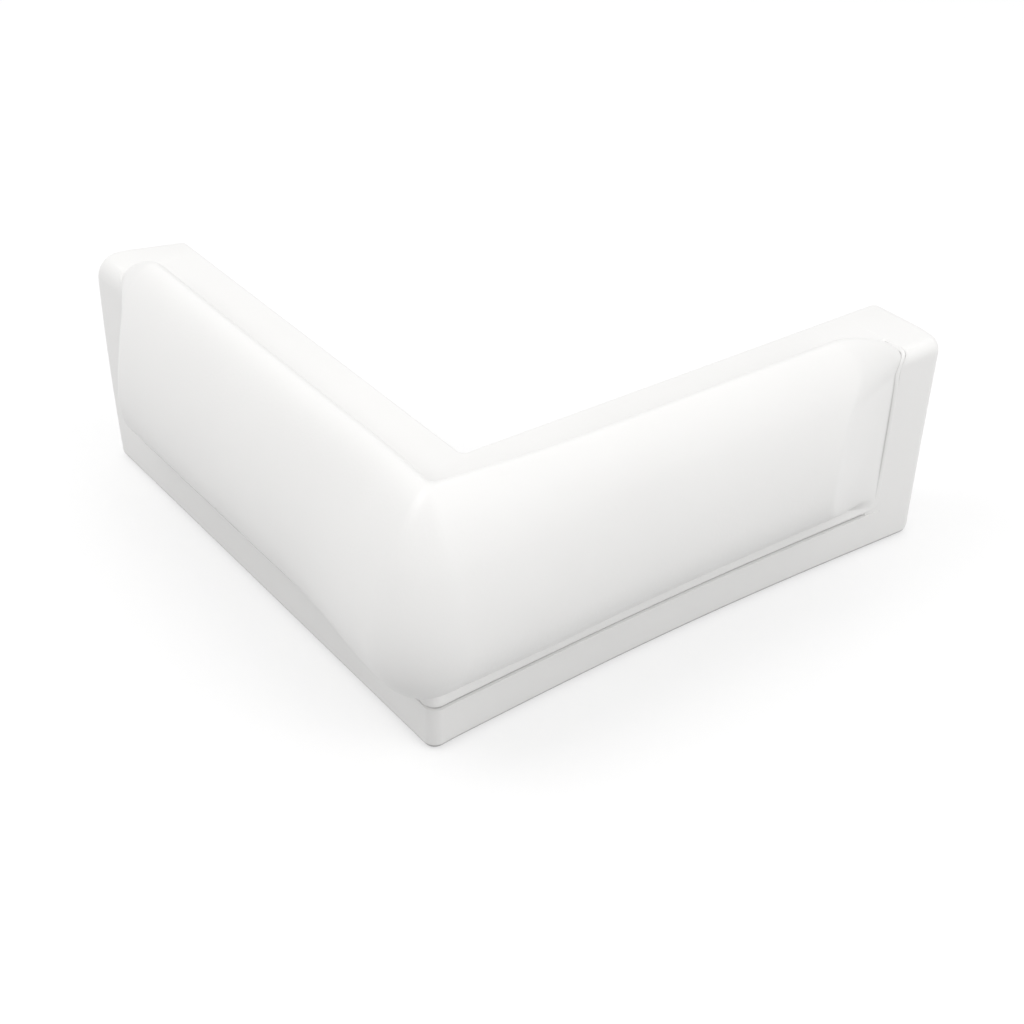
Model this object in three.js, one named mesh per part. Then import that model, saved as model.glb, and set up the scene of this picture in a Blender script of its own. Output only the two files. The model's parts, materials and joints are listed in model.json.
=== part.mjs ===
// Dock corner bumper: an L-shaped moulding in white marine vinyl, in millimetres, +Z up.
// It stands on its bottom edge. The two backing legs lie against the two faces of a dock's
// corner, and a swelled cushion runs round the outside of the legs and over their top edge.
// One leg runs along +X and the other along +Y, and the outer corner points to -X, -Y.
import * as THREE from "three";
import { mergeVertices } from "three/addons/utils/BufferGeometryUtils.js";

// Backing: the L-shaped body that carries the cushion
const backingHeight = 102;
const legLength = 271;
const backingDepth = 42;
const outerCornerRadius = 5;
const innerCornerRadius = 3;
const frontTopRound = 6;
const frontBottomRound = 3;
const backRound = 2;
const endRound = 5;

// The soft moulding has set a little off true. Its cushion leans over towards the left leg at
// the corner, the right leg's foot bows in, and both legs' ends have pulled out of square.
const cornerLean = 2.4;
const cornerLeanReach = 60;
const rightFootBow = 4;
const rightEndReach = 0.5;
const rightFootReach = 2;
const rightBackReach = 2.5;
const leftEndReach = 3;
const leftFootReach = -8;
const leftBackReach = -7;
const leftEndTopRound = 12;
const endDome = 2.5;

// Base pad: the thin raised panel that the cushion swells from
const padBottom = 23;
const padThickness = 2.2;
const padEdge = 1.6;
const padBand = 6.4;
const bandTuck = 1.2;
const endBand = 1.2;
const endRim = 2;
const endDip = 0.03;
const dipWidth = 1;
const padEndLean = 2.5;
const padTopThickness = 0.7;
const footRound = 6;
const grooveDepth = 1.4;
const grooveWidth = 1.4;
const footGroove = 2.4;

// Cushion across a leg
const cushionBulge = 21;
const bulgeHeight = 62;
const flareStart = 0.2;
const ridgeHeight = 17;
const ridgeSetBack = 4;
const ridgeRound = 8;
const topCreaseSetBack = 14;

// Cushion along a leg
const frontMargin = 27;
const topMargin = 23;
const rightFrontSlope = 50;
const leftFrontSlope = 28;
const rightTopSlope = 44;
const rightTopFullness = 0.4;
const leftTopSlope = 30;
const leftTopFullness = 0.4;
const slopeRound = 2;
const cornerSwell = 3.6;
const cornerSwellReach = 85;
const cornerSoftness = 22;
const slopeFall = 0.6;
const leastRise = 0.1;
const leanRise = 0.4;

// Smoothness of the skin
const turnSteps = 10;
const spanSteps = 7;
const slopeSteps = 10;
const edgeSteps = 3;
const grooveSteps = 1;
const endSteps = 4;
const lipSteps = 3;
const curveSteps = 9;
const fallSteps = 4;
const roundSteps = 2;
const joinDistance = 0.001;

const halfPi = Math.PI / 2;
const { lerp, clamp, smoothstep } = THREE.MathUtils;

// A leg's section is drawn with x as the set-back from its front face and y as the height.
const sectionPoint = (setBack, height) => new THREE.Vector2(setBack, height);

// A round between two straight sides of the section, between two angles about its centre
function roundPoints(centre, radius, start, end) {
  const points = [];
  for (let i = 0; i <= roundSteps; i++) {
    const angle = lerp(start, end, i / roundSteps);
    points.push(
      sectionPoint(centre.x + radius * Math.cos(angle), centre.y + radius * Math.sin(angle)),
    );
  }
  return points;
}

// Points along six curves that run from the groove under the pad, over the top, to the top crease
function pointsAlong(curves) {
  const steps = [1, lipSteps, 1, curveSteps, curveSteps, fallSteps];
  return curves.flatMap((curve, i) => curve.getPoints(steps[i]).slice(i ? 1 : 0));
}

const grooveFloor = sectionPoint(grooveDepth, padBottom - footGroove);
const foot = sectionPoint(grooveDepth, padBottom);
const lip = sectionPoint(-padThickness, padBottom + padEdge);
const footCurve = new THREE.LineCurve(grooveFloor, foot);
const lipCurve = new THREE.QuadraticBezierCurve(foot, sectionPoint(lip.x, foot.y), lip);
const crease = sectionPoint(topCreaseSetBack, backingHeight - grooveDepth);

// The full cushion: out to the bulge, up to the ridge above the top face, down to the crease
function cushionOutline() {
  const ridgeTop = backingHeight + ridgeHeight;
  const bandEnd = sectionPoint(lip.x + bandTuck, lip.y + padBand);
  const lowerRise = bulgeHeight - bandEnd.y;
  const upperRise = ridgeTop - bulgeHeight;
  const fullest = sectionPoint(-cushionBulge, bulgeHeight);
  const ridge = sectionPoint(ridgeSetBack, ridgeTop);
  return pointsAlong([
    footCurve,
    lipCurve,
    new THREE.LineCurve(lip, bandEnd),
    new THREE.CubicBezierCurve(
      bandEnd,
      sectionPoint(lip.x - cushionBulge / 2, bandEnd.y + lowerRise * flareStart),
      sectionPoint(-cushionBulge, bulgeHeight - lowerRise / 2),
      fullest,
    ),
    new THREE.CubicBezierCurve(
      fullest,
      sectionPoint(-cushionBulge, bulgeHeight + upperRise / 2),
      sectionPoint(ridgeSetBack - ridgeRound, ridgeTop),
      ridge,
    ),
    new THREE.CubicBezierCurve(
      ridge,
      sectionPoint(ridgeSetBack + ridgeRound / 2, ridgeTop),
      sectionPoint(topCreaseSetBack, backingHeight + ridgeHeight / 2),
      crease,
    ),
  ]);
}

// The thin pad that the cushion falls to at its end, numbered like the cushion's outline
function padOutline() {
  const bandEnd = sectionPoint(lip.x, lip.y + endBand);
  const side = sectionPoint(lip.x, bulgeHeight);
  const padTop = backingHeight + padTopThickness;
  const shoulder = sectionPoint(ridgeSetBack, padTop);
  return pointsAlong([
    footCurve,
    lipCurve,
    new THREE.LineCurve(lip, bandEnd),
    new THREE.LineCurve(bandEnd, side),
    new THREE.CubicBezierCurve(
      side,
      sectionPoint(lip.x, backingHeight),
      sectionPoint(lip.x, padTop),
      shoulder,
    ),
    new THREE.LineCurve(shoulder, crease),
  ]);
}

// The middle of the round along the backing's front top edge
const topRoundCentre = sectionPoint(frontTopRound, backingHeight - frontTopRound);

// How far a point of the outline has turned from the front face (0) to the top face (1)
function turned(point) {
  if (point.y <= topRoundCentre.y) return 0;
  if (point.x >= topRoundCentre.x) return 1;
  const up = point.y - topRoundCentre.y;
  const out = topRoundCentre.x - point.x;
  return Math.atan2(up, out) / halfPi;
}

// The place on the bare backing that a point of the outline rises from
function bareUnder(point) {
  const share = turned(point);
  if (share === 0) return sectionPoint(0, point.y);
  if (share === 1) return sectionPoint(point.x, backingHeight);
  return sectionPoint(
    topRoundCentre.x - frontTopRound * Math.cos(share * halfPi),
    topRoundCentre.y + frontTopRound * Math.sin(share * halfPi),
  );
}

const cushion = cushionOutline();
const pad = padOutline();
const bare = pad.map(bareUnder);
const rises = cushion.map((point, index) => point.distanceTo(pad[index]));

// Whether a point of the pad's outline lies below the backing's skin, in the groove around the pad
const sunken = pad.map((point, index) => point.x > bare[index].x || point.y < bare[index].y);

// The rest of the section: the far edge of the crease, the back's two edges, the front's bottom
// edge and the edge of the groove under the pad
const plain = [
  sectionPoint(topCreaseSetBack + grooveWidth, backingHeight),
  ...roundPoints(
    sectionPoint(backingDepth - backRound, backingHeight - backRound),
    backRound,
    halfPi,
    0,
  ),
  ...roundPoints(sectionPoint(backingDepth - backRound, backRound), backRound, 0, -halfPi),
  ...roundPoints(
    sectionPoint(frontBottomRound, frontBottomRound),
    frontBottomRound,
    -halfPi,
    -Math.PI,
  ),
  sectionPoint(0, grooveFloor.y - grooveDepth / 2),
];
const outlineSize = cushion.length + plain.length;

// One point of the section, with the pad and the cushion each at its own share of full
function skinPoint(index, padShare, cushionShare) {
  if (index >= cushion.length) return plain[index - cushion.length].clone();
  const risen = cushion[index].clone().sub(pad[index]).multiplyScalar(cushionShare);
  return bare[index].clone().lerp(pad[index], padShare).add(risen);
}

// How far the cushion rises from the pad at a point of the section, as a share of the most
function riseAt(index) {
  return index < cushion.length ? rises[index] / Math.max(...rises) : 0;
}

// How far a point belongs to the top face rather than the front face
function topShare(index) {
  return index < cushion.length ? turned(cushion[index]) : 1;
}

// How far short of the leg's end the pad stops: round at its foot, and a little shorter up high
function endMargin(index) {
  const height = index < pad.length ? pad[index].y : backingHeight;
  const left = clamp(footRound - (height - padBottom), 0, footRound);
  const rounding = footRound - Math.sqrt(footRound ** 2 - left ** 2);
  const high = clamp((height - padBottom) / (backingHeight - padBottom), 0, 1);
  const front = frontMargin + rounding + padEndLean * high ** 2;
  return lerp(front, topMargin, topShare(index));
}

// The cushion's share of full height at the corner, where it swells less over the top face
function cornerShare(index) {
  return 1 + (cornerSwell / cushionBulge) * (1 - topShare(index) / 2);
}

// How far out the cushion stands at the corner
const cornerBulge = cushionBulge + cornerSwell * (1 - padThickness / cushionBulge);

// The radius of the corner's turn in plan. It is softer the further a point stands out, and stays
// soft above the bulge.
function turnRadius(setBack, height) {
  if (setBack > 0) return Math.max(outerCornerRadius - setBack, innerCornerRadius);
  const outness = -setBack / cornerBulge;
  return outerCornerRadius + cornerSoftness * (height > bulgeHeight ? outness : outness ** 2);
}

// Where a point's line leaves the corner's turn, where its cushion and its pad end, and how long
// the cushion's slope is. The slope cuts across the cushion nearly as one flat face.
function stationsOf(index, leg) {
  const { x: setBack, y: height } = skinPoint(index, 1, cornerShare(index));
  const padEnd = legLength - endMargin(index);
  const fall = Math.max(riseAt(index), leastRise) ** slopeFall;
  return {
    turnEnd: setBack + turnRadius(setBack, height),
    cushionEnd: padEnd - endRim,
    padEnd,
    slope: lerp(leg.frontSlope, leg.topSlope, topShare(index)) * fall,
    power: 1 + leg.topFullness * topShare(index),
  };
}

// The pad's share of full thickness past its end: a round edge, then a fine groove
function padShareAt(past) {
  const dip = grooveDepth / padThickness;
  if (past <= 0) return 1;
  if (past <= padEdge) return (1 + dip) * Math.sqrt(1 - (past / padEdge) ** 2) - dip;
  return -dip * clamp((padEdge + grooveWidth - past) / grooveWidth, 0, 1);
}

// The cushion's share of full height: swelled by the corner, then full, then its end. The end is
// a flat slope on the front and an oval round on top, and meets the pad in a fine dip.
function cushionShareAt(along, index, { cushionEnd, slope, power }) {
  const climbed = (cushionEnd - along) / slope;
  const bend = slopeRound / slope;
  if (climbed <= 0) return -endDip * clamp((cushionEnd + dipWidth - along) / dipWidth, 0, 1);
  if (climbed >= 1 + bend) {
    return lerp(cornerShare(index), 1, smoothstep(along, 0, cornerSwellReach));
  }
  const fallen = climbed > 1 - bend ? ((1 + bend - climbed) / 2) ** 2 / bend : 1 - climbed;
  return lerp(-endDip, 1, (1 - fallen ** power) ** (1 / power));
}

// Evenly spaced places after the first, up to the second
function between(first, last, steps) {
  return Array.from({ length: steps }, (_, i) => lerp(first, last, (i + 1) / steps));
}

// The places along a leg that one point of the section is put at, from the corner outwards
function placesAlong({ turnEnd, cushionEnd, padEnd, slope }) {
  const slopeStart = cushionEnd - slope - slopeRound;
  const edgeEnd = padEnd + padEdge;
  return [
    ...between(turnEnd, slopeStart, spanSteps),
    ...between(slopeStart, cushionEnd, slopeSteps),
    cushionEnd + dipWidth,
    padEnd,
    ...between(padEnd, edgeEnd, edgeSteps),
    ...between(edgeEnd, edgeEnd + grooveWidth, grooveSteps),
    legLength - endRound,
    ...between(0, halfPi, endSteps).map((angle) => legLength - endRound * (1 - Math.sin(angle))),
  ];
}

// Draws a section point in towards the middle, for the rounded edge of a leg's end
function drawnIn(point, along) {
  const out = clamp((along - legLength) / endRound + 1, 0, 1);
  const inset = endRound * (1 - Math.sqrt(1 - out * out));
  const middle = sectionPoint(backingDepth / 2, backingHeight / 2);
  const shrink = sectionPoint(1 - inset / middle.x, 1 - inset / middle.y);
  return point.clone().sub(middle).multiply(shrink).add(middle);
}

// Keeps a point of the bare section inside a rounder front top corner, near a leg's end
function rounderTop(point, along, endTopRound) {
  const stretch = topMargin - padEdge - grooveWidth;
  const ending = 1 - (legLength - along) / stretch;
  if (ending <= 0) return point;
  const radius = lerp(frontTopRound, endTopRound, Math.min(ending, 1));
  const centre = sectionPoint(radius, backingHeight - radius);
  const out = point.clone().sub(centre);
  if (out.x >= 0 || out.y <= 0 || out.length() <= radius) return point;
  return out.setLength(radius).add(centre);
}

// How far the cushion's corner has leaned over, at a place along a leg
function leaned(index, along) {
  const risen = smoothstep(riseAt(index), 0, leanRise);
  return cornerLean * risen * (1 - smoothstep(along, 0, cornerLeanReach));
}

// Puts a section point on the +X leg, with all that is off true in that leg
function placedOnLeg(index, point, along, leg) {
  const back = clamp(point.x / backingDepth, 0, 1);
  const low = clamp(1 - point.y / backingHeight, 0, 1);
  const bow = leg.footBow * Math.sin((Math.PI * along) / legLength) * low * (1 - back);
  const ending = clamp(1 - (legLength - along) / topMargin, 0, 1);
  const footPull = (leg.footReach - leg.endReach) * low ** 2;
  const backPull = (leg.backReach - leg.endReach) * back + endDome * (1 - (2 * back - 1) ** 2);
  const pull = ending * (leg.endReach + footPull + backPull);
  const lean = leg.leanSide * leaned(index, along);
  return new THREE.Vector3(along + pull - lean, point.x + bow + lean, point.y);
}

// A leg's sections, in order from the corner to the leg's end
function legSections(leg) {
  const lines = Array.from({ length: outlineSize }, (_, index) => {
    const stations = stationsOf(index, leg);
    return placesAlong(stations).map((along) => {
      const padShare = padShareAt(along - stations.padEnd);
      const section = skinPoint(
        index,
        sunken[index] ? Math.max(padShare, 0) : padShare,
        cushionShareAt(along, index, stations),
      );
      const point = drawnIn(rounderTop(section, along, leg.endTopRound), along);
      return placedOnLeg(index, point, along, leg);
    });
  });
  return lines[0].map((_, i) => lines.map((line) => line[i]));
}

// The sections of the corner's turn, from the +X leg round to the +Y leg
function turnSections() {
  const section = Array.from({ length: outlineSize }, (_, i) => skinPoint(i, 1, cornerShare(i)));
  return Array.from({ length: turnSteps + 1 }, (_, step) => {
    const angle = -halfPi - (halfPi * step) / turnSteps;
    return section.map((point, index) => {
      const radius = turnRadius(point.x, point.y);
      const centre = point.x + radius;
      const lean = leaned(index, 0);
      return new THREE.Vector3(
        centre + radius * Math.cos(angle) - lean,
        centre + radius * Math.sin(angle) + lean,
        point.y,
      );
    });
  });
}

// Joins the sections into one closed skin: bands between neighbours and a fan on each end.
function skinOf(sections) {
  const count = sections[0].length;
  const positions = sections.flat().flatMap((point) => point.toArray());
  const faces = [];
  for (let row = 0; row < sections.length - 1; row++) {
    for (let i = 0; i < count; i++) {
      const here = row * count + i;
      const next = row * count + ((i + 1) % count);
      faces.push(here, next, next + count, here, next + count, here + count);
    }
  }
  for (const row of [0, sections.length - 1]) {
    const hub = positions.length / 3;
    const middle = new THREE.Vector3();
    sections[row].forEach((point) => middle.addScaledVector(point, 1 / count));
    positions.push(...middle.toArray());
    for (let i = 0; i < count; i++) {
      const here = row * count + i;
      const next = row * count + ((i + 1) % count);
      faces.push(...(row ? [hub, here, next] : [hub, next, here]));
    }
  }
  const geometry = new THREE.BufferGeometry();
  geometry.setAttribute("position", new THREE.Float32BufferAttribute(positions, 3));
  geometry.setIndex(faces);
  return mergeVertices(geometry, joinDistance);
}

// The whole moulding, with its middle over the origin
function bumperGeometry() {
  const rightLeg = legSections({
    frontSlope: rightFrontSlope,
    topSlope: rightTopSlope,
    topFullness: rightTopFullness,
    footBow: rightFootBow,
    leanSide: 1,
    endReach: rightEndReach,
    footReach: rightFootReach,
    backReach: rightBackReach,
    endTopRound: frontTopRound,
  });
  const leftLeg = legSections({
    frontSlope: leftFrontSlope,
    topSlope: leftTopSlope,
    topFullness: leftTopFullness,
    footBow: 0,
    leanSide: -1,
    endReach: leftEndReach,
    footReach: leftFootReach,
    backReach: leftBackReach,
    endTopRound: leftEndTopRound,
  }).map((section) => section.map((point) => new THREE.Vector3(point.y, point.x, point.z)));
  const geometry = skinOf([...rightLeg.reverse(), ...turnSections(), ...leftLeg]);
  geometry.computeBoundingBox();
  const middle = geometry.boundingBox.getCenter(new THREE.Vector3());
  geometry.translate(-middle.x, -middle.y, 0);
  geometry.computeVertexNormals();
  return geometry;
}

const whiteVinyl = new THREE.MeshStandardMaterial({
  color: 0xf2f2f0,
  roughness: 0.38,
  metalness: 0,
});

const group = new THREE.Group();
const bumper = new THREE.Mesh(bumperGeometry(), whiteVinyl);
bumper.name = "corner_bumper";
group.add(bumper);

export default group;
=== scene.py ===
# Dock corner bumper: the finished look of the moulding, its floor, its light and its camera.
# Everything is in metres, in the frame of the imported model, +Z up.
import json
import math

import bmesh
import bpy
from mathutils import Matrix, Vector


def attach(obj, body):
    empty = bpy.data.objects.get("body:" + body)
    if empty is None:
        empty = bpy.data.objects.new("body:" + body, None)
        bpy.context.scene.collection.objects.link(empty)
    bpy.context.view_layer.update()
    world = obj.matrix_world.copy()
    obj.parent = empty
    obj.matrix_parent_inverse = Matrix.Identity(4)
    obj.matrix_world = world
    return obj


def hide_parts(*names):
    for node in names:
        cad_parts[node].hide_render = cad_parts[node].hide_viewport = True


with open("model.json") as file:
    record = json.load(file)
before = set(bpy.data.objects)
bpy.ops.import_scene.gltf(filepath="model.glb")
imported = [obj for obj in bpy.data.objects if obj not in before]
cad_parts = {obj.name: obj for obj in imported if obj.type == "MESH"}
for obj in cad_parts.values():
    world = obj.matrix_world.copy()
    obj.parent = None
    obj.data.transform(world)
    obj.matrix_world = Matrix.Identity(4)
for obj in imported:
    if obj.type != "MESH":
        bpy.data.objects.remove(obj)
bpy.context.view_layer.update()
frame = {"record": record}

# Corner bumper, where it stands
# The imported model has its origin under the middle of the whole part. The two back faces lie
# one backing depth behind the outer corner of the L, which every place below is measured from.
backing_depth = 0.042
face_places = {mount["name"]: mount["pos_m"] for mount in frame["record"]["mounts"]}
outer_corner = Vector(
    (
        face_places["left_back_face"][0] - backing_depth,
        face_places["right_back_face"][1] - backing_depth,
        0,
    )
)

# Camera
# It looks down on the outer corner from in front, a little nearer to the right leg, through a
# fairly long lens, and it leans over slightly.
camera_place = Vector((-0.3016, -0.4226, 0.4664))
camera_heading = math.radians(51.50)
camera_dip = math.radians(34.11)
camera_roll = math.radians(-2.64)
camera_lens = 62.31
camera_sensor = 36

level = Vector((math.cos(camera_heading), math.sin(camera_heading), 0))
forward = level * math.cos(camera_dip) - Vector((0, 0, math.sin(camera_dip)))
flat_right = forward.cross(Vector((0, 0, 1))).normalized()
flat_up = flat_right.cross(forward)
tilted_right = flat_right * math.cos(camera_roll) - flat_up * math.sin(camera_roll)
tilted_up = flat_up * math.cos(camera_roll) + flat_right * math.sin(camera_roll)
camera_data = bpy.data.cameras.new("camera")
camera_data.sensor_width = camera_sensor
camera_data.lens = camera_lens
camera = bpy.data.objects.new("camera", camera_data)
bpy.context.collection.objects.link(camera)
camera_axes = Matrix((tilted_right, tilted_up, -forward)).transposed().to_4x4()
camera.matrix_world = Matrix.Translation(outer_corner + camera_place) @ camera_axes
bpy.context.scene.camera = camera

# Corner bumper, the moulding
# One hollow shell of white marine vinyl, moulded without a seam. A square backing carries a
# thin raised pad, and the pad swells into a round cushion that rises above the top face.
backing_height = 0.102
leg_length = 0.271
outer_corner_radius = 0.005
inner_corner_radius = 0.003
front_top_round = 0.006
front_bottom_round = 0.003
back_round = 0.002
end_round = 0.005

corner_lean = 0.0024
corner_lean_reach = 0.060
end_dome = 0.0025
right_set = {
    "front_slope": 0.050,
    "top_slope": 0.044,
    "top_fullness": 0.4,
    "foot_bow": 0.004,
    "end_reach": 0.0005,
    "end_lean": -0.0015,
    "end_skew": -0.002,
    "end_top_round": 0.006,
}
left_set = {
    "front_slope": 0.028,
    "top_slope": 0.030,
    "top_fullness": 0.4,
    "foot_bow": 0,
    "end_reach": 0.003,
    "end_lean": 0.011,
    "end_skew": 0.010,
    "end_top_round": 0.012,
}

pad_bottom = 0.023
pad_thickness = 0.0022
pad_edge = 0.0016
pad_band = 0.0064
band_tuck = 0.0012
end_band = 0.0012
end_rim = 0.002
end_dip = 0.03
dip_width = 0.001
pad_end_lean = 0.0025
pad_top_thickness = 0.0007
foot_round = 0.006
groove_depth = 0.0014
groove_width = 0.0014
foot_groove = 0.0024

cushion_bulge = 0.021
bulge_height = 0.062
flare_start = 0.2
ridge_height = 0.017
ridge_set_back = 0.004
ridge_round = 0.008
top_crease_set_back = 0.014

front_margin = 0.027
top_margin = 0.023
slope_round = 0.002
corner_swell = 0.0036
corner_swell_reach = 0.085
corner_softness = 0.022
slope_fall = 0.6
least_rise = 0.1
lean_rise = 0.4

turn_steps = 36
span_steps = 30
slope_steps = 36
edge_steps = 6
groove_steps = 2
end_steps = 8
lip_steps = 6
band_steps = 6
curve_steps = 30
fall_steps = 12
round_steps = 6
weld_distance = 1e-6
sharp_angle = math.radians(35)


def mix(start, end, share):
    return start + (end - start) * share


def clamped(value):
    return min(max(value, 0), 1)


def eased(value):
    """A share that starts and ends gently."""
    share = clamped(value)
    return share * share * (3 - 2 * share)


def curve_points(corners, steps):
    """Points after the first on a curve through its first and last corner, pulled by the rest."""
    points = []
    for step in range(1, steps + 1):
        row = list(corners)
        while len(row) > 1:
            row = [mix(near, far, step / steps) for near, far in zip(row, row[1:])]
        points.append(row[0])
    return points


def round_points(centre, radius, start, end):
    """Points of a round edge, between two angles about its centre."""
    points = []
    for step in range(round_steps + 1):
        angle = mix(start, end, step / round_steps)
        points.append(centre + radius * Vector((math.cos(angle), math.sin(angle))))
    return points


# A leg's section is drawn with x as the set-back from its front face and y as the height.
groove_floor = Vector((groove_depth, pad_bottom - foot_groove))
pad_foot = Vector((groove_depth, pad_bottom))
pad_lip = Vector((-pad_thickness, pad_bottom + pad_edge))
top_crease = Vector((top_crease_set_back, backing_height - groove_depth))
lip_corners = [pad_foot, Vector((pad_lip.x, pad_foot.y)), pad_lip]


def outline(*stretches):
    """The groove under the pad, the pad's lip, then stretches that each go on from there."""
    points = [groove_floor, pad_foot] + curve_points(lip_corners, lip_steps)
    for corners, steps in stretches:
        points += curve_points([points[-1]] + corners, steps)
    return points


ridge_top = backing_height + ridge_height
band_end = Vector((pad_lip.x + band_tuck, pad_lip.y + pad_band))
lower_rise = bulge_height - band_end.y
upper_rise = ridge_top - bulge_height
cushion = outline(
    ([band_end], band_steps),
    (
        [
            Vector((pad_lip.x - cushion_bulge / 2, band_end.y + lower_rise * flare_start)),
            Vector((-cushion_bulge, bulge_height - lower_rise / 2)),
            Vector((-cushion_bulge, bulge_height)),
        ],
        curve_steps,
    ),
    (
        [
            Vector((-cushion_bulge, bulge_height + upper_rise / 2)),
            Vector((ridge_set_back - ridge_round, ridge_top)),
            Vector((ridge_set_back, ridge_top)),
        ],
        curve_steps,
    ),
    (
        [
            Vector((ridge_set_back + ridge_round / 2, ridge_top)),
            Vector((top_crease_set_back, backing_height + ridge_height / 2)),
            top_crease,
        ],
        fall_steps,
    ),
)

pad_top = backing_height + pad_top_thickness
pad = outline(
    ([Vector((pad_lip.x, pad_lip.y + end_band))], band_steps),
    ([Vector((pad_lip.x, bulge_height))], curve_steps),
    (
        [
            Vector((pad_lip.x, backing_height)),
            Vector((pad_lip.x, pad_top)),
            Vector((ridge_set_back, pad_top)),
        ],
        curve_steps,
    ),
    ([top_crease], fall_steps),
)

top_round_centre = Vector((front_top_round, backing_height - front_top_round))


def turned(point):
    """How far a point of the outline has turned from the front face (0) to the top face (1)."""
    if point.y <= top_round_centre.y:
        return 0
    if point.x >= top_round_centre.x:
        return 1
    return math.atan2(point.y - top_round_centre.y, top_round_centre.x - point.x) / (math.pi / 2)


def bare_under(point):
    """The place on the bare backing that a point of the outline rises from."""
    share = turned(point)
    if share == 0:
        return Vector((0, point.y))
    if share == 1:
        return Vector((point.x, backing_height))
    angle = share * math.pi / 2
    return top_round_centre + front_top_round * Vector((-math.cos(angle), math.sin(angle)))


bare = [bare_under(point) for point in pad]
sunken = [point.x > skin.x or point.y < skin.y for point, skin in zip(pad, bare)]
back_centre_top = Vector((backing_depth - back_round, backing_height - back_round))
back_centre_bottom = Vector((backing_depth - back_round, back_round))
front_centre_bottom = Vector((front_bottom_round, front_bottom_round))
plain = (
    [Vector((top_crease_set_back + groove_width, backing_height))]
    + round_points(back_centre_top, back_round, math.pi / 2, 0)
    + round_points(back_centre_bottom, back_round, 0, -math.pi / 2)
    + round_points(front_centre_bottom, front_bottom_round, -math.pi / 2, -math.pi)
    + [Vector((0, groove_floor.y - groove_depth * share)) for share in (1, 0.5)]
)
outline_size = len(cushion) + len(plain)
rises = [(full - flat).length for full, flat in zip(cushion, pad)]


def skin_point(index, pad_share, cushion_share):
    """One point of the section, with the pad and the cushion each at its own share of full."""
    if index >= len(cushion):
        return plain[index - len(cushion)]
    risen = (cushion[index] - pad[index]) * cushion_share
    return mix(bare[index], pad[index], pad_share) + risen


def rise(index):
    """How far the cushion rises from the pad at a point, as a share of the most."""
    return rises[index] / max(rises) if index < len(cushion) else 0


def top_share(index):
    """How far a point belongs to the top face rather than the front face."""
    return turned(cushion[index]) if index < len(cushion) else 1


def end_margin(index):
    """How far short of the leg's end the pad stops: rounder at its foot, shorter at its top."""
    height = pad[index].y if index < len(pad) else backing_height
    left = foot_round * clamped((foot_round - height + pad_bottom) / foot_round)
    rounding = foot_round - math.sqrt(foot_round**2 - left**2)
    high = clamped((height - pad_bottom) / (backing_height - pad_bottom))
    front = front_margin + rounding + pad_end_lean * high**2
    return mix(front, top_margin, top_share(index))


def corner_share(index):
    """The cushion's share of full height at the corner, where it swells less on top."""
    return 1 + corner_swell / cushion_bulge * (1 - top_share(index) / 2)


def cushion_share_at(along, index, cushion_end, slope, power):
    """The cushion's share of full height: swelled by the corner, full, then its end.

    The end is a flat slope on the front, an oval round on top, and meets the pad in a fine dip.
    """
    climbed = (cushion_end - along) / slope
    bend = slope_round / slope
    if climbed <= 0:
        return -end_dip * clamped((cushion_end + dip_width - along) / dip_width)
    if climbed >= 1 + bend:
        return mix(corner_share(index), 1, eased(along / corner_swell_reach))
    fallen = 1 - climbed
    if climbed > 1 - bend:
        fallen = ((1 + bend - climbed) / 2) ** 2 / bend
    return mix(-end_dip, 1, (1 - fallen**power) ** (1 / power))


def between(first, last, steps):
    """Evenly spaced places after the first, up to the second."""
    return [mix(first, last, (step + 1) / steps) for step in range(steps)]


def pad_share_at(past):
    """The pad's share of full thickness: a round edge at its end, then a fine groove."""
    dip = groove_depth / pad_thickness
    if past <= 0:
        return 1
    if past <= pad_edge:
        return (1 + dip) * math.sqrt(1 - (past / pad_edge) ** 2) - dip
    return -dip * clamped((pad_edge + groove_width - past) / groove_width)


corner_bulge = cushion_bulge + corner_swell * (1 - pad_thickness / cushion_bulge)


def turn_radius(point):
    """The radius of the corner's turn in plan, softer the further out a section point is."""
    if point.x > 0:
        return max(outer_corner_radius - point.x, inner_corner_radius)
    outness = -point.x / corner_bulge
    return outer_corner_radius + corner_softness * outness ** (1 if point.y > bulge_height else 2)


def places_along(turn_end, pad_end, slope):
    """The places along a leg that one point of the section is put at, from the corner out."""
    cushion_end = pad_end - end_rim
    slope_start = cushion_end - slope - slope_round
    edge_end = pad_end + pad_edge
    round_angles = between(0, math.pi / 2, end_steps)
    return [
        *between(turn_end, slope_start, span_steps),
        *between(slope_start, cushion_end, slope_steps),
        cushion_end + dip_width,
        pad_end,
        *between(pad_end, edge_end, edge_steps),
        *between(edge_end, edge_end + groove_width, groove_steps),
        leg_length - end_round,
        *[leg_length - end_round * (1 - math.sin(angle)) for angle in round_angles],
    ]


def drawn_in(point, along):
    """A section point drawn in towards the middle, for the rounded edge of a leg's end."""
    out = clamped((along - leg_length) / end_round + 1)
    inset = end_round * (1 - math.sqrt(1 - out * out))
    middle = Vector((backing_depth / 2, backing_height / 2))
    shrink = Vector((1 - inset / middle.x, 1 - inset / middle.y))
    return middle + (point - middle) * shrink


def rounder(point, radius):
    """A point of the bare section kept inside a rounder front top corner."""
    centre = Vector((radius, backing_height - radius))
    out = point - centre
    if out.x >= 0 or out.y <= 0 or out.length <= radius:
        return point
    return centre + out * (radius / out.length)


def leaned(index, lean, along):
    """How far the cushion's corner has leaned over at a place along a leg."""
    return lean * eased(rise(index) / lean_rise) * (1 - eased(along / corner_lean_reach))


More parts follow.
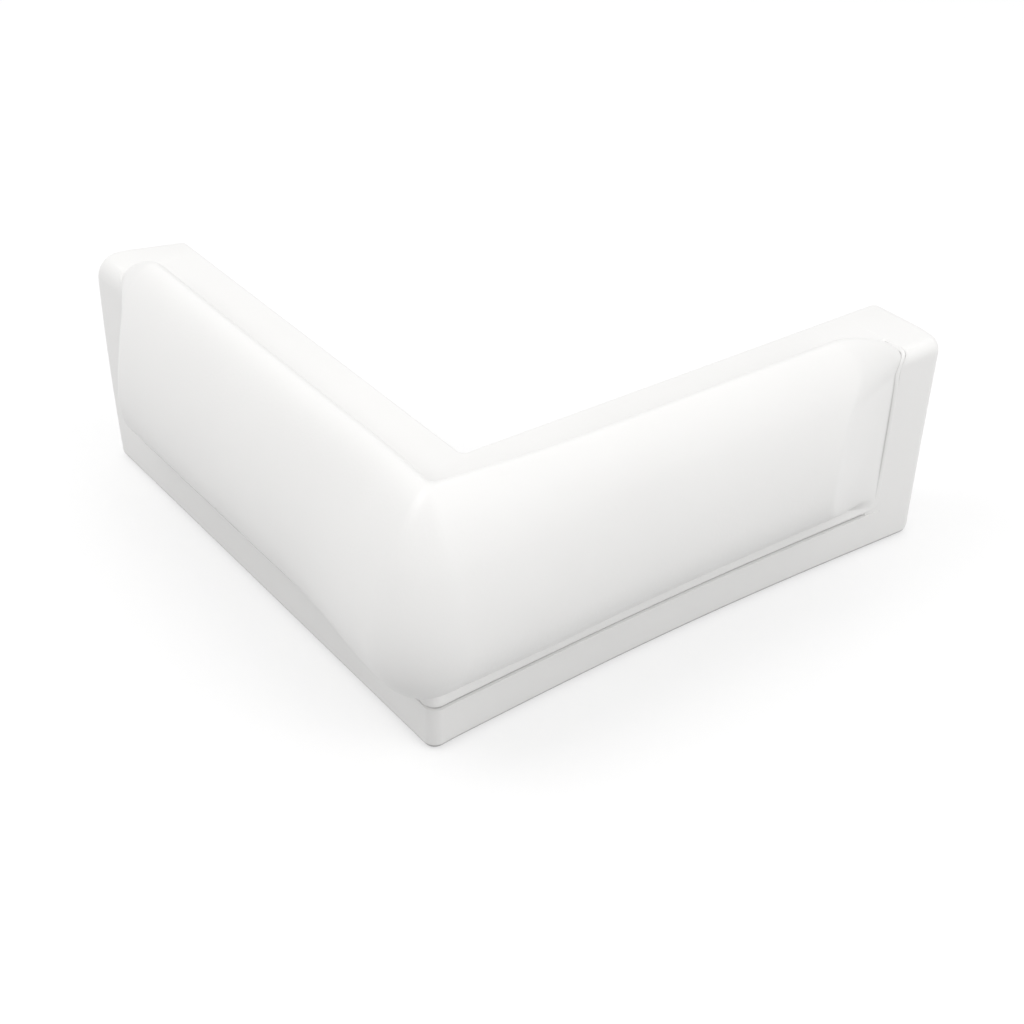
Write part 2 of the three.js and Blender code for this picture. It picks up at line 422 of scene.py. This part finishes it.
def placed(index, point, along, lean, leg_set):
    """A section point put on a leg that runs along +X, with all that is off true in it."""
    back = clamped(point.x / backing_depth)
    low = clamped(1 - point.y / backing_height)
    bow = leg_set["foot_bow"] * math.sin(math.pi * along / leg_length) * low * (1 - back)
    ending = clamped(1 - (leg_length - along) / top_margin)
    pull = leg_set["end_reach"] - leg_set["end_lean"] * low**2 - leg_set["end_skew"] * back
    pull += end_dome * (1 - (2 * back - 1) ** 2)
    leaning = leaned(index, lean, along)
    return Vector((along + ending * pull - leaning, point.x + bow + leaning, point.y))


def leg_sections(lean, leg_set):
    """A leg's sections in order from the corner out, as if the leg ran along +X."""
    lines = []
    for index in range(outline_size):
        pad_end = leg_length - end_margin(index)
        full_slope = mix(leg_set["front_slope"], leg_set["top_slope"], top_share(index))
        power = 1 + leg_set["top_fullness"] * top_share(index)
        slope = full_slope * max(rise(index), least_rise) ** slope_fall
        corner_point = skin_point(index, 1, corner_share(index))
        turn_end = corner_point.x + turn_radius(corner_point)
        line = []
        for along in places_along(turn_end, pad_end, slope):
            pad_share = pad_share_at(along - pad_end)
            if index < len(pad) and sunken[index]:
                pad_share = max(pad_share, 0)
            cushion_share = cushion_share_at(along, index, pad_end - end_rim, slope, power)
            point = skin_point(index, pad_share, cushion_share)
            ending = clamped(1 - (leg_length - along) / (top_margin - pad_edge - groove_width))
            if ending > 0:
                point = rounder(point, mix(front_top_round, leg_set["end_top_round"], ending))
            line.append(placed(index, drawn_in(point, along), along, lean, leg_set))
        lines.append(line)
    return [list(section) for section in zip(*lines)]


def turn_sections():
    """The sections of the corner's turn, from the right leg round to the left leg."""
    sections = []
    for step in range(turn_steps + 1):
        angle = -math.pi / 2 * (1 + step / turn_steps)
        section = []
        for index in range(outline_size):
            point = skin_point(index, 1, corner_share(index))
            radius = turn_radius(point)
            centre = point.x + radius
            lean = leaned(index, corner_lean, 0)
            section.append(
                Vector(
                    (
                        centre + radius * math.cos(angle) - lean,
                        centre + radius * math.sin(angle) + lean,
                        point.y,
                    )
                )
            )
        sections.append(section)
    return sections


right_leg = leg_sections(corner_lean, right_set)
left_leg = leg_sections(-corner_lean, left_set)
left_leg = [[Vector((p.y, p.x, p.z)) for p in section] for section in left_leg]
sections = right_leg[::-1] + turn_sections() + left_leg

bumper_bmesh = bmesh.new()
rows = [[bumper_bmesh.verts.new(outer_corner + point) for point in row] for row in sections]
for row, next_row in zip(rows, rows[1:]):
    for index in range(outline_size):
        following = (index + 1) % outline_size
        corners = (row[index], row[following], next_row[following], next_row[index])
        bumper_bmesh.faces.new(corners)
bumper_bmesh.faces.new(rows[0][::-1])
bumper_bmesh.faces.new(rows[-1])
bmesh.ops.remove_doubles(bumper_bmesh, verts=bumper_bmesh.verts, dist=weld_distance)
bmesh.ops.recalc_face_normals(bumper_bmesh, faces=bumper_bmesh.faces)
bumper_mesh = bpy.data.meshes.new("vinyl_moulding")
bumper_bmesh.to_mesh(bumper_mesh)
bumper_bmesh.free()
bumper_mesh.polygons.foreach_set("use_smooth", [True] * len(bumper_mesh.polygons))
bumper_mesh.set_sharp_from_angle(angle=sharp_angle)
bumper = bpy.data.objects.new("vinyl_moulding", bumper_mesh)
bpy.context.collection.objects.link(bumper)

# White marine vinyl: a semi-gloss skin with a very fine orange peel, slow waves left by the
# cooling of the soft wall, and the faintest mottling. Painted shade darkens the colour to grey in
# the creases, and a painted contact shadow darkens it along the bottom edge.
vinyl = bpy.data.materials.new("white_marine_vinyl")
vinyl.use_nodes = True
nodes = vinyl.node_tree.nodes
links = vinyl.node_tree.links
surface = nodes["Principled BSDF"]
surface.inputs["IOR"].default_value = 1.52
surface.inputs["Coat Roughness"].default_value = 0.3
surface.inputs["Coat Weight"].default_value = 0.15

coordinates = nodes.new("ShaderNodeTexCoord")


def noise(scale, detail):
    """A soft random pattern with this many waves to the metre."""
    node = nodes.new("ShaderNodeTexNoise")
    node.inputs["Scale"].default_value = scale
    node.inputs["Detail"].default_value = detail
    links.new(coordinates.outputs["Object"], node.inputs["Vector"])
    return node


mottling = noise(24, 3)
tint = nodes.new("ShaderNodeMix")
tint.data_type = "RGBA"
tint.inputs["A"].default_value = (0.835, 0.83, 0.82, 1)
tint.inputs["B"].default_value = (0.865, 0.86, 0.85, 1)
links.new(mottling.outputs["Fac"], tint.inputs["Factor"])

# Painted shade: concave creases, found by their pointiness, are painted dark grey where occlusion
# shade falls.
shape = nodes.new("ShaderNodeNewGeometry")
crease_shade = nodes.new("ShaderNodeMapRange")
crease_shade.inputs["From Min"].default_value = 0.445
crease_shade.inputs["From Max"].default_value = 0.493
crease_shade.inputs["To Min"].default_value = 1
crease_shade.inputs["To Max"].default_value = 0
links.new(shape.outputs["Pointiness"], crease_shade.inputs["Value"])
# Painted contact shadow: a thin band just above the bottom edge, 1.4 to 2.6 mm up, is painted
# dark grey.
height = nodes.new("ShaderNodeSeparateXYZ")
links.new(coordinates.outputs["Object"], height.inputs["Vector"])
contact_shade = nodes.new("ShaderNodeMapRange")
contact_shade.inputs["From Min"].default_value = 0.0014
contact_shade.inputs["From Max"].default_value = 0.0026
contact_shade.inputs["To Min"].default_value = 1
contact_shade.inputs["To Max"].default_value = 0
links.new(height.outputs["Z"], contact_shade.inputs["Value"])
# The stronger of the two painted-shade masks mixes the vinyl colour towards dark grey.
painted_shade = nodes.new("ShaderNodeMath")
painted_shade.operation = "MAXIMUM"
links.new(crease_shade.outputs["Result"], painted_shade.inputs[0])
links.new(contact_shade.outputs["Result"], painted_shade.inputs[1])
shaded_colour = nodes.new("ShaderNodeMix")
shaded_colour.data_type = "RGBA"
shaded_colour.inputs["B"].default_value = (0.30, 0.296, 0.288, 1)
links.new(painted_shade.outputs["Value"], shaded_colour.inputs["Factor"])
links.new(tint.outputs["Result"], shaded_colour.inputs["A"])
links.new(shaded_colour.outputs["Result"], surface.inputs["Base Color"])

shine = nodes.new("ShaderNodeMapRange")
shine.inputs["To Min"].default_value = 0.36
shine.inputs["To Max"].default_value = 0.46
links.new(noise(60, 4).outputs["Fac"], shine.inputs["Value"])
links.new(shine.outputs["Result"], surface.inputs["Roughness"])

slow_waves = nodes.new("ShaderNodeBump")
slow_waves.inputs["Strength"].default_value = 0.15
slow_waves.inputs["Distance"].default_value = 0.002
links.new(noise(22, 1).outputs["Fac"], slow_waves.inputs["Height"])
orange_peel = nodes.new("ShaderNodeBump")
orange_peel.inputs["Strength"].default_value = 0.10
orange_peel.inputs["Distance"].default_value = 0.0004
links.new(noise(700, 2).outputs["Fac"], orange_peel.inputs["Height"])
links.new(slow_waves.outputs["Normal"], orange_peel.inputs["Normal"])
links.new(orange_peel.outputs["Normal"], surface.inputs["Normal"])
bumper_mesh.materials.append(vinyl)

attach(bumper, "root")
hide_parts("corner_bumper")

# Floor
# A plain table top that runs out of sight. It takes the bumper's soft shadow, and looks white to
# the camera and in reflections. It throws back less light than white, as a table in a room does.
floor_size = 8
floor_drop = 0.0002
floor_mesh = bpy.data.meshes.new("floor")
half = floor_size / 2
floor_mesh.from_pydata(
    [(-half, -half, 0), (half, -half, 0), (half, half, 0), (-half, half, 0)],
    [],
    [(0, 1, 2, 3)],
)
floor = bpy.data.objects.new("floor", floor_mesh)
bpy.context.collection.objects.link(floor)
floor.location.z = -floor_drop

floor_paint = bpy.data.materials.new("white_table")
floor_paint.use_nodes = True
nodes = floor_paint.node_tree.nodes
links = floor_paint.node_tree.links
table = nodes["Principled BSDF"]
table.inputs["Base Color"].default_value = (0.43, 0.43, 0.43, 1)
table.inputs["Roughness"].default_value = 0.8
glow = nodes.new("ShaderNodeEmission")
glow.inputs["Strength"].default_value = 0.55
light_path = nodes.new("ShaderNodeLightPath")
lift = nodes.new("ShaderNodeAddShader")
choice = nodes.new("ShaderNodeMixShader")
bounce = nodes.new("ShaderNodeBsdfDiffuse")
bounce.inputs["Color"].default_value = (0.42, 0.42, 0.42, 1)
in_view = nodes.new("ShaderNodeMath")
in_view.operation = "MAXIMUM"
links.new(table.outputs["BSDF"], lift.inputs[0])
links.new(glow.outputs["Emission"], lift.inputs[1])
links.new(light_path.outputs["Is Camera Ray"], in_view.inputs[0])
links.new(light_path.outputs["Is Glossy Ray"], in_view.inputs[1])
links.new(in_view.outputs["Value"], choice.inputs["Fac"])
links.new(bounce.outputs["BSDF"], choice.inputs[1])
links.new(lift.outputs["Shader"], choice.inputs[2])
links.new(choice.outputs["Shader"], nodes["Material Output"].inputs["Surface"])
floor_mesh.materials.append(floor_paint)

# Light
# A white room gives most of the light. Two broad lamps, one for each leg, brighten the upper
# half of the cushion, and a weaker low one lights the right leg's foot and end.
room = bpy.data.worlds.new("white_room")
bpy.context.scene.world = room
room.use_nodes = True
nodes = room.node_tree.nodes
links = room.node_tree.links
room_light = nodes["Background"]
room_light.inputs["Color"].default_value = (1, 1, 1, 1)
room_light.inputs["Strength"].default_value = 0.81
white_view = nodes.new("ShaderNodeBackground")
white_view.inputs["Color"].default_value = (1, 1, 1, 1)
light_path = nodes.new("ShaderNodeLightPath")
choice = nodes.new("ShaderNodeMixShader")
links.new(light_path.outputs["Is Camera Ray"], choice.inputs["Fac"])
links.new(room_light.outputs["Background"], choice.inputs[1])
links.new(white_view.outputs["Background"], choice.inputs[2])
links.new(choice.outputs["Shader"], nodes["World Output"].inputs["Surface"])

lamp_distance = 1.8
object_middle = Vector((0, 0, 0.05))


def lamp(name, turn, height, size, power):
    """A square soft lamp that faces the bumper, from a turn and a height angle in degrees."""
    data = bpy.data.lights.new(name, "AREA")
    data.size = size
    data.energy = power
    made = bpy.data.objects.new(name, data)
    bpy.context.collection.objects.link(made)
    around = math.radians(turn)
    above = math.radians(height)
    flat = Vector((math.cos(around), math.sin(around), 0)) * math.cos(above)
    made.location = lamp_distance * (flat + Vector((0, 0, math.sin(above))))
    made.rotation_euler = (object_middle - made.location).to_track_quat("-Z", "Y").to_euler()


lamp("left_lamp", 158, 52, 1.1, 8.9)
lamp("right_lamp", 285, 44, 1.2, 5.5)
lamp("low_lamp", 298, 24, 1.2, 3.6)

bpy.context.scene.view_settings.view_transform = "Standard"
